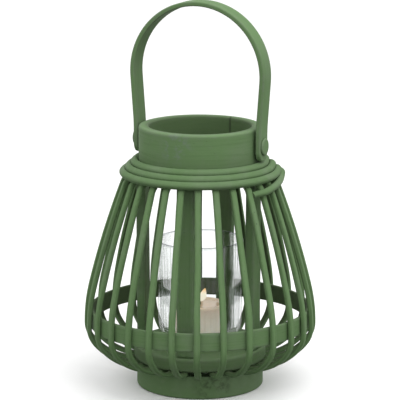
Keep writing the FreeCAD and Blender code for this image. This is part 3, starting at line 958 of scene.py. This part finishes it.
# How high and how softly the painted shade above the cane reaches up the collar.
LOW_SHADE_HEIGHT = 0.018
LOW_SHADE_FADE = 0.016
UPRIGHT_STEPS = 60
UPRIGHT_UNEVENNESS = 0.03
UPRIGHT_SWAY = 0.0005
UPRIGHT_GRAIN_SHIFT = 0.41


def floor_disc(material):
    """The floor disc: a rounded rectangle turned about the axis."""
    rounding = bpy.context.scene.wood_sizes.disc_rounding
    radius = half_width("base_disc")
    low, high = bottom("base_disc"), top("base_disc")
    outline, walked, edge = rounded_outline([
        (DISC_POLE, low, 0), (radius, low, rounding), (radius, high, rounding), (DISC_POLE, high, 0)],
        DISC_SPACING)
    grid = turned_grid(outline[:, 0:1], outline[:, 1:2], full_circle(DISC_STEPS))
    # Painted shade: the whole disc, which lies under the cage, takes some of the dark inner tone.
    piece = skin("floor_disc", grid, walked, FULL_TURN * radius, along="columns",
                 weights={"edge": edge[:, None], "inner": 0.35})
    place(piece, "frame", "painted_wood", material, "base_disc")


def round_collar(material):
    """The collar: a rounded profile turned about the axis.

    The inner face creeps inward round the turn and steps back at the glued seam, and the rim's
    height wavers a little.  Just above the cane the outer face is painted darker, as painted shade.
    """
    wood = bpy.context.scene.wood_sizes
    outer = half_width("collar")
    low, high = bottom("collar"), top("collar")
    profile, rise, walked, edge = ring_outline(
        outer - wood.collar_wall, outer, low, high,
        (wood.collar_foot_rounding, wood.rim_rounding, wood.mouth_rounding), COLLAR_SPACING)
    since_seam = full_circle(COLLAR_STEPS)
    fall = smooth_step((since_seam - SEAM_FALL_START) / SEAM_FALL_RUN) * SEAM_FALL
    creep = wood.seam_step * (smooth_step(since_seam / SEAM_RISE) - fall)
    inside = smooth_step((outer - 0.4 * wood.collar_wall - profile) / (0.5 * wood.collar_wall))
    upper = smooth_step((rise - high + RIM_REACH) / RIM_REACH)
    radius = profile - inside * creep
    radius = radius - (1 - inside) * np.abs(wander(since_seam / FULL_TURN, 41, COLLAR_WAVER))
    height = rise + upper * wander(since_seam / FULL_TURN, 42, RIM_WAVER) - upper * RIM_WAVER
    # Painted shade: the outer face is darkened just above the cane, where the cane shades it, by adding to
    # the inner weight.
    low_shade = wood.low_shade * (1 - inside) * (1 - smooth_step((rise - low - LOW_SHADE_HEIGHT) / LOW_SHADE_FADE))
    crack = hump(np.minimum(since_seam, FULL_TURN - since_seam), 0, CRACK_SPREAD)
    grid = turned_grid(radius, height, since_seam + wood.seam_angle)
    # Painted shade, partly: the collar's inner face takes the dark inner tone.
    piece = skin("round_collar", grid, walked, FULL_TURN * outer, looped=True, along="columns",
                 weights={"edge": edge, "inner": inside * 0.62 + low_shade, "seam": inside * crack})
    place(piece, "frame", "painted_wood", material, "collar")


def flat_upright(node, seed, material):
    """An upright: a rounded strip carried straight up, with slightly uneven width."""
    wood = bpy.context.scene.wood_sizes
    low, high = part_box(node)
    share = np.linspace(0, 1, UPRIGHT_STEPS)
    width = wood.upright_width * (1 + wander(share, seed, UPRIGHT_UNEVENNESS))[:, None]
    thickness = wood.upright_thickness * (1 + wander(share, seed + 1, UPRIGHT_UNEVENNESS))[:, None]
    across, through, edge = strip_section(width, thickness, wood.upright_rounding)
    stand = np.full(UPRIGHT_STEPS, math.hypot(low.x + high.x, low.y + high.y) / 2)
    climbed = share * (high.z - low.z)
    line = np.stack([stand, wander(share, seed + 2, UPRIGHT_SWAY, 2), low.z + climbed], 1)
    outward = np.broadcast_to([1.0, 0.0, 0.0], line.shape)
    grid = rotated(strip_grid(line, outward, across, through), bearing(node))
    # Painted shade, partly: the upright is a little darker all over, and darker still on its inner face.
    inner = 0.10 + 0.6 * near_face(-through[0], wood.upright_thickness / 2)
    piece = skin("flat_" + node, grid, climbed + seed * UPRIGHT_GRAIN_SHIFT,
                 2 * (wood.upright_width + wood.upright_thickness), weights={"edge": edge, "inner": inner})
    place(piece, "frame", "painted_wood", material, node)


# The handle

STRAP_STEPS = 150
STRAP_END_STEPS = 12
STRAP_FINE_STEPS = 1200
STRAP_UNEVENNESS = 0.012
STRAP_SWAY = 0.0004
CROWN_THINNING = 0.10
TIP_LENGTH = 0.0012
LEAST_TIP = 0.12
LEAST_NARROW = 0.0009
FULL_ROW = 60
RIVET_STEPS = 64
RIVET_SPACING = 0.0012
RIVET_POLE = 0.0004
RIVET_DOME = 0.0002
# Width of the painted contact shadow round the foot of a rivet's head.
CONTACT_SHADE_WIDTH = 0.0006


def bent_strap(material):
    """The handle: a rounded strip carried up one leg, over the crown and down the other.

    Near each end the strip narrows as a half circle does, so the legs end round.
    """
    wood = bpy.context.scene.wood_sizes
    half = wood.strap_thickness / 2
    half_strap = 0.5 * wood.strap_width
    crown_middle = half_width("handle_strap") - half
    leg_inner = crown_middle - wood.leg_splay - half
    leg_end = bottom("handle_strap")
    lean = wood.leg_lean
    bent_x = leg_inner + half + (wood.leg_bend - half) * (1 - math.cos(lean))
    slant = (crown_middle * math.cos(lean) - bent_x) / math.sin(lean)
    leg = [(pivot_height() + wood.leg_straight - leg_end, 0), (wood.leg_bend - half, lean), (slant, 0)]
    moves = leg + [(crown_middle, -math.pi - 2 * lean)] + leg[::-1]
    fine, *found = bent_line(-leg_inner - half, leg_end, math.pi / 2, moves, STRAP_FINE_STEPS)
    total = fine[-1]
    end_steps = half_strap * (1 - np.cos(np.linspace(0, math.pi / 2, STRAP_END_STEPS)))[:-1]
    middle = np.linspace(half_strap, total - half_strap, STRAP_STEPS)
    distance = np.concatenate([end_steps, middle, total - end_steps[::-1]])
    x, z, heading = (np.interp(distance, fine, values) for values in found)
    from_end = np.minimum(distance, total - distance)
    inset = np.clip(1 - from_end / half_strap, 0, 1)
    narrow = np.sqrt(np.clip(1 - inset ** 2, LEAST_NARROW, 1))
    share = distance / total
    width = (wood.strap_width * narrow * (1 + wander(share, 51, STRAP_UNEVENNESS)))[:, None]
    thickness = (wood.strap_thickness * (1 - CROWN_THINNING * np.sin(math.pi * share) ** 4)
                 * np.sqrt(np.clip(from_end / TIP_LENGTH, LEAST_TIP, 1)))[:, None]
    rounding = np.minimum(wood.strap_rounding, 0.45 * np.minimum(width, thickness))
    across, through, edge = strip_section(width, thickness, rounding)
    sway = wander(share, 52, STRAP_SWAY, 3) * np.sin(math.pi * share)
    grid = strip_grid(np.stack([x, sway, z], 1), normals(heading), across, through)
    # Painted shade, partly: the strap's inner face takes some of the dark inner tone.
    inner = 0.35 * near_face(-through[FULL_ROW], half)
    piece = skin("bent_strap", grid, distance, 2 * (wood.strap_width + wood.strap_thickness),
                 weights={"edge": edge, "inner": inner})
    place(piece, "handle", "painted_wood", material, "handle_strap")


def rivet_head(node, material):
    """A rivet: a stepped profile turned about its own axis, from its clinched end to its head."""
    wood = bpy.context.scene.wood_sizes
    low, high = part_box(node)
    side = 1 if low.x + high.x > 0 else -1
    inner_end, outer_end = sorted((abs(low.x), abs(high.x)))
    head = (high.z - low.z) / 2
    head_base = outer_end - wood.rivet_head_height
    clinch_end = inner_end + wood.clinch_height
    outline, walked, edge = rounded_outline([
        (RIVET_POLE, inner_end, 0), (wood.clinch_radius, inner_end, wood.clinch_rounding),
        (wood.clinch_radius, clinch_end, 0), (wood.rivet_radius, clinch_end, 0),
        (wood.rivet_radius, head_base, 0), (head, head_base, 0), (head, outer_end, wood.rivet_rounding),
        (RIVET_POLE, outer_end + RIVET_DOME, 0)], RIVET_SPACING)
    turn = full_circle(RIVET_STEPS)
    radius, reach = outline[:, 0:1], outline[:, 1:2]
    grid = np.stack([np.broadcast_to(side * reach, (len(outline), RIVET_STEPS)), radius * np.cos(turn),
                     (high.z + low.z) / 2 + radius * np.sin(turn)], -1)
    at_edge = smooth_step((radius - 0.97 * head) / (0.03 * head))
    # Painted shade: a dark ring where the head's edge meets the strap stands in for the contact shadow
    # there.
    contact_shade = at_edge * smooth_step((head_base + CONTACT_SHADE_WIDTH - reach) / (CONTACT_SHADE_WIDTH / 2))
    piece = skin("round_" + node, grid, walked, FULL_TURN * head,
                 weights={"edge": edge[:, None], "inner": 0.0, "seam": contact_shade})
    place(piece, "frame", "painted_rivet", material, node)


# The glass and the candle

GLASS_STEPS = 180
GLASS_SPACING = 0.004
POLE = 0.0008
BASE_DISH = 0.0008
BASE_RIM = 0.008
BASE_INNER_ROUNDING = 0.0015
BASE_OUTER_ROUNDING = 0.0026
GLASS_BODY_ROUNDING = 0.03
GLASS_RIM_ROUNDING = 0.00095
GLASS_FLOOR_ROUNDING = 0.006
GLASS_FLOOR_DISH = 0.001
WAX_SPACING = 0.0012
WAX_FOOT_ROUNDING = 0.0016
WAX_RIM_ROUNDING = 0.0018
POOL_LIP = 0.0015
POOL_LIP_ROUNDING = 0.002
POOL_ROUNDING = 0.003
POOL_POLE = 0.0010
FULLNESS_WAVER = 0.006
GLOW_DEPTH = 0.024
WICK_STEPS = 40
WICK_SIDES = 16
FLAME_STEPS = 60
FLAME_SIDES = 40


def glass_tumbler(material):
    """The tumbler: one closed profile, down the outside and up the inside, turned about the axis."""
    candle = bpy.context.scene.candle_sizes
    low, high = bottom("glass_tumbler"), top("glass_tumbler")
    rim = half_width("glass_tumbler")
    wall = candle.glass_wall
    body = candle.glass_body_radius
    base = candle.glass_base_radius
    shelf = low + candle.glass_body_height
    inner_floor = low + candle.glass_floor
    outline, walked, _ = rounded_outline([
        (POLE, low + 2 * BASE_DISH, 0), (base - BASE_RIM, low + BASE_DISH, BASE_RIM / 2),
        (base - BASE_RIM / 2, low, BASE_INNER_ROUNDING), (base, low, BASE_OUTER_ROUNDING),
        (body, shelf, GLASS_BODY_ROUNDING), (rim, high, GLASS_RIM_ROUNDING),
        (rim - wall, high, GLASS_RIM_ROUNDING), (body - wall, shelf, GLASS_BODY_ROUNDING),
        (base - wall, inner_floor, GLASS_FLOOR_ROUNDING), (POLE, inner_floor - GLASS_FLOOR_DISH, 0)],
        GLASS_SPACING)
    height = outline[:, 1:2]
    grid = turned_grid(outline[:, 0:1], height, full_circle(GLASS_STEPS))
    # Painted shade: the rim weight greys the glass along its rim.
    piece = skin("tumbler", grid, walked, FULL_TURN * rim, along="columns",
                 weights={"rim": smooth_step((height - high + 0.0012) / 0.0006)})
    place(piece, "glass", "clear_glass", material, "glass_tumbler")


def wax_body(material):
    """The candle: a profile turned about the axis, with shallow flutes round its side."""
    candle = bpy.context.scene.candle_sizes
    low, high = bottom("candle_wax"), top("candle_wax")
    radius = half_width("candle_wax")
    pool, depth = candle.pool_radius, candle.pool_depth
    outline, walked, _ = rounded_outline([
        (POLE, low, 0), (radius, low, WAX_FOOT_ROUNDING), (radius, high, WAX_RIM_ROUNDING),
        (pool + POOL_LIP, high, POOL_LIP_ROUNDING), (pool, high - depth * 0.8, POOL_ROUNDING),
        (POOL_POLE, high - depth, 0)], WAX_SPACING)
    profile, height = outline[:, 0:1], outline[:, 1:2]
    turn = full_circle(8 * candle.flute_count)
    on_side = smooth_step((height - low - 0.002) / 0.002) * smooth_step((high - 0.007 - height) / 0.003)
    flutes = 0.5 - 0.5 * np.cos(candle.flute_count * turn)
    fullness = 1 - np.abs(wander(turn / FULL_TURN, 61, FULLNESS_WAVER))
    grid = turned_grid((profile - on_side * flutes * candle.flute_depth) * fullness, height, turn)
    near = np.clip(1 - (high - height) / GLOW_DEPTH, 0, 1) ** 2
    on_top = smooth_step((height - high + 0.004) / 0.002)
    melted = on_top * smooth_step((pool + 0.0005 - profile) / 0.002)
    piece = skin("wax_body", grid, walked, FULL_TURN * radius, along="columns",
                 weights={"near_flame": near, "melted": melted})
    place(piece, "candle", "cream_wax", material, "candle_wax")


def curved_wick(material):
    """The wick: level circles along a line that bends over at its tip."""
    candle = bpy.context.scene.candle_sizes
    low, high = bottom("candle_wick"), top("candle_wick")
    radius = half_width("candle_wick")
    share = np.linspace(0, 1, WICK_STEPS)
    height = low + share * (high - low)
    bend = candle.flame_side * smooth_step((height - high + candle.flame_drop) / candle.flame_drop) ** 2
    girth = radius * (0.92 + 0.08 * np.sin(share * 90)) * np.sqrt(np.clip((1 - share) * 12, 0.08, 1))
    grid = leaning_rings(bend, height - 0.3 * bend, candle.flame_bearing, girth, WICK_SIDES)
    piece = skin("curved_wick", grid, height, FULL_TURN * radius,
                 weights={"ember": smooth_step((share - 0.965) / 0.03)[:, None]})
    place(piece, "candle", "wick_cotton", material, "candle_wick")


def teardrop_flame(material):
    """The flame: circles whose radius follows a sine of a power of the height, on a leaning line."""
    candle = bpy.context.scene.candle_sizes
    share = np.linspace(0.004, 0.996, FLAME_STEPS)
    height = top("candle_wick") - candle.flame_drop + share * candle.flame_height
    radius = candle.flame_radius * np.sin(math.pi * share ** 0.72) ** 0.80 * (1.05 - 0.15 * share)
    lean = candle.flame_side * smooth_step(share / 0.35) + candle.flame_lean * share ** 1.8
    grid = leaning_rings(lean, height, candle.flame_bearing, radius, FLAME_SIDES)
    piece = skin("teardrop_flame", grid, share, 1, weights={"rise": share[:, None]})
    piece.visible_shadow = False
    place(piece, "candle", "wick_cotton", material)


# The stage

FLOOR_RINGS = 24
FLOOR_SPOKES = 96
FLOOR_RADIUS = 9.0
FLOOR_MIDDLE = 0.05
FLOOR_GAP = 0.0002


def pale_floor():
    """A wide round floor: rings of points that spread outwards, closed at the middle."""
    radius = np.geomspace(FLOOR_MIDDLE, FLOOR_RADIUS, FLOOR_RINGS)
    points = turned_grid(radius[:, None], -FLOOR_GAP, full_circle(FLOOR_SPOKES))
    row, column = np.meshgrid(np.arange(FLOOR_RINGS - 1), np.arange(FLOOR_SPOKES), indexing="ij")
    here, following = row * FLOOR_SPOKES + column, row * FLOOR_SPOKES + (column + 1) % FLOOR_SPOKES
    quads = np.stack([here, here + FLOOR_SPOKES, following + FLOOR_SPOKES, following], -1)
    mesh = bpy.data.meshes.new("pale_floor")
    faces = quads.reshape(-1, 4).tolist() + [list(range(FLOOR_SPOKES))]
    mesh.from_pydata(points.reshape(-1, 3).tolist(), [], faces)
    mesh.materials.append(studio_floor())
    floor = added("pale_floor", mesh)
    floor.visible_diffuse = False


def white_surroundings(sky, ground):
    """Surroundings that are white from the horizon up and darker from below."""
    finish = Finish("white_surroundings", bpy.data.worlds)
    direction = finish.node("ShaderNodeTexCoord", output="Generated")
    upward = finish.node("ShaderNodeSeparateXYZ", {}, {0: direction}, output="Z")
    strength = ground + upward.between(-0.12, 0.02) * (sky - ground)
    background = finish.node("ShaderNodeBackground", {}, {"Color": finish.tone(WHITE), "Strength": strength})
    return finish.finished(background, "ShaderNodeOutputWorld")


def aimed(thing, azimuth, elevation, distance, target):
    """Puts a camera or light round the lantern, by its angles and its distance, looking at a target."""
    direction = type(target)((math.sin(azimuth) * math.cos(elevation),
                              -math.cos(azimuth) * math.cos(elevation), math.sin(elevation)))
    thing.location = target + direction * distance
    thing.rotation_euler = (-direction).to_track_quat("-Z", "Y").to_euler()


def lamp(name, kind, power):
    """A light of one kind and power."""
    light = added(name, bpy.data.lights.new(name, kind))
    light.data.energy = power
    return light


def flame_light(power):
    """A small warm light inside the flame."""
    light = lamp("flame_light", "POINT", power)
    light.data.color = (1.0, 0.62, 0.30)
    light.data.shadow_soft_size = 0.002
    light.location = (0.001, 0.0, top("candle_wick") + 0.003)
    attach(light, "candle")


# Operators

class LANTERN_OT_stage(Operator):
    """Sets up the floor, the light and the camera"""
    bl_idname = "lantern.stage"
    bl_label = "Stage"

    def execute(self, context):
        scene = context.scene
        stage = scene.stage_settings
        pale_floor()
        low, high = cad_box
        target = (low + high) / 2
        target.z = stage.aim_height
        camera = added("camera", bpy.data.cameras.new("camera"))
        camera.data.lens = stage.lens
        aimed(camera, stage.azimuth, stage.elevation, stage.distance, target)
        scene.camera = camera
        key_light = lamp("key_light", "AREA", stage.key)
        key_light.data.size = stage.key_width
        aimed(key_light, stage.key_azimuth, stage.key_elevation, stage.key_distance, target)
        flame_light(stage.flame_light)
        scene.world = white_surroundings(stage.sky, stage.ground)
        scene.view_settings.view_transform = "Standard"
        return {"FINISHED"}


class LANTERN_OT_ribs(Operator):
    """Makes the bent ribs of the cage"""
    bl_idname = "lantern.ribs"
    bl_label = "Ribs"

    def execute(self, context):
        # Painted shade: the ribs' rounded edges are painted darker with the shaded tone.
        material = painted("rib_paint", 45.0, 1100.0, 0.35, 0.45, edge_tone="shade")
        for index, node in enumerate(RIB_NODES):
            bent_rib(node, index + 1, material)
        return {"FINISHED"}


class LANTERN_OT_winding(Operator):
    """Winds the cane round the shoulder"""
    bl_idname = "lantern.winding"
    bl_label = "Cane winding"

    def execute(self, context):
        # Painted shade: the cane takes the darker copy of the paint.
        cane_winding(painted("cane_paint", 60.0, 1500.0, 0.40, 0.55, edge_tone="shade", tone="deep_paint"))
        return {"FINISHED"}


class LANTERN_OT_hoop(Operator):
    """Makes the flat hoop inside the belly"""
    bl_idname = "lantern.hoop"
    bl_label = "Belly hoop"

    def execute(self, context):
        belly_hoop(painted("hoop_paint", 30.0, 700.0, 0.35, 0.45))
        return {"FINISHED"}


class LANTERN_OT_foot(Operator):
    """Makes the floor disc and finishes the foot ring, its screws and the dowels"""
    bl_idname = "lantern.foot"
    bl_label = "Foot"

    def execute(self, context):
        floor_disc(painted("disc_paint", 25.0, 500.0, 0.30, 0.45))
        front_right = (0.036, -0.049, 0.014)
        # Painted shade: the foot takes the darker copy of the paint.
        dress("foot_ring", painted("foot_paint", 25.0, 500.0, 0.30, 0.35, tone="deep_paint",
                                   stain=(front_right, 0.024, "chip")))
        dress("upright_dowels", bare_wood())
        steel = plated_steel()
        for node in ("foot_screws", "clinch_washer_left", "clinch_washer_right"):
            dress(node, steel)
        return {"FINISHED"}


class LANTERN_OT_collar(Operator):
    """Makes the collar"""
    bl_idname = "lantern.collar"
    bl_label = "Collar"

    def execute(self, context):
        front_left = (0.001, -0.058, 0.239)
        round_collar(painted("collar_paint", 22.0, 420.0, 0.30, 0.50, stain=(front_left, 0.020, "dust")))
        return {"FINISHED"}


class LANTERN_OT_uprights(Operator):
    """Makes the four uprights"""
    bl_idname = "lantern.uprights"
    bl_label = "Uprights"

    def execute(self, context):
        material = painted("upright_paint", 25.0, 600.0, 0.40, 0.50)
        for index, node in enumerate(UPRIGHT_NODES):
            flat_upright(node, 70 + 3 * index, material)
        return {"FINISHED"}


class LANTERN_OT_handle(Operator):
    """Makes the handle strap and its rivets"""
    bl_idname = "lantern.handle"
    bl_label = "Handle"

    def execute(self, context):
        bent_strap(painted("strap_paint", 25.0, 600.0, 0.30, 0.60))
        rivet_paint = painted("rivet_paint", 200.0, 200.0, 0.15, 0.60)
        for node in ("handle_rivet_left", "handle_rivet_right"):
            rivet_head(node, rivet_paint)
        return {"FINISHED"}


class LANTERN_OT_glass(Operator):
    """Makes the glass tumbler"""
    bl_idname = "lantern.glass"
    bl_label = "Glass"

    def execute(self, context):
        glass_tumbler(clear_glass())
        return {"FINISHED"}


class LANTERN_OT_candle(Operator):
    """Makes the candle, its wick and its flame"""
    bl_idname = "lantern.candle"
    bl_label = "Candle"

    def execute(self, context):
        wax_body(candle_wax())
        curved_wick(burnt_wick())
        teardrop_flame(candle_flame())
        return {"FINISHED"}


PIECE_OPERATORS = (LANTERN_OT_ribs, LANTERN_OT_winding, LANTERN_OT_hoop, LANTERN_OT_foot,
                   LANTERN_OT_collar, LANTERN_OT_uprights, LANTERN_OT_handle, LANTERN_OT_glass,
                   LANTERN_OT_candle)
SETTINGS = {
    "cage_sizes": CageSizes,
    "wood_sizes": WoodSizes,
    "candle_sizes": CandleSizes,
    "lantern_colours": LanternColours,
    "stage_settings": StageSettings,
}


class LANTERN_PT_pieces(Panel):
    """Lists the lantern's pieces and settings in the sidebar"""
    bl_idname = "LANTERN_PT_pieces"
    bl_label = "Candle lantern"
    bl_space_type = "VIEW_3D"
    bl_region_type = "UI"
    bl_category = "Lantern"

    def draw(self, context):
        for operator in (LANTERN_OT_stage, *PIECE_OPERATORS):
            self.layout.operator(operator.bl_idname)
        for key, group in SETTINGS.items():
            box = self.layout.box()
            box.label(text=key.replace("_", " ").capitalize())
            for name in group.__annotations__:
                box.prop(getattr(context.scene, key), name)


CLASSES = (*SETTINGS.values(), LANTERN_OT_stage, *PIECE_OPERATORS, LANTERN_PT_pieces)


def register():
    """Registers the classes and hangs the settings on the scene."""
    for entry in CLASSES:
        bpy.utils.register_class(entry)
    for key, group in SETTINGS.items():
        setattr(bpy.types.Scene, key, PointerProperty(type=group))


def unregister():
    """Takes the settings and the classes away again."""
    for key in SETTINGS:
        delattr(bpy.types.Scene, key)
    for entry in reversed(CLASSES):
        bpy.utils.unregister_class(entry)


def main():
    """Registers the add-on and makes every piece."""
    register()
    bpy.ops.lantern.stage()
    for operator in PIECE_OPERATORS:
        getattr(bpy.ops.lantern, operator.bl_idname.split(".")[1])()


if __name__ == "__main__":
    main()
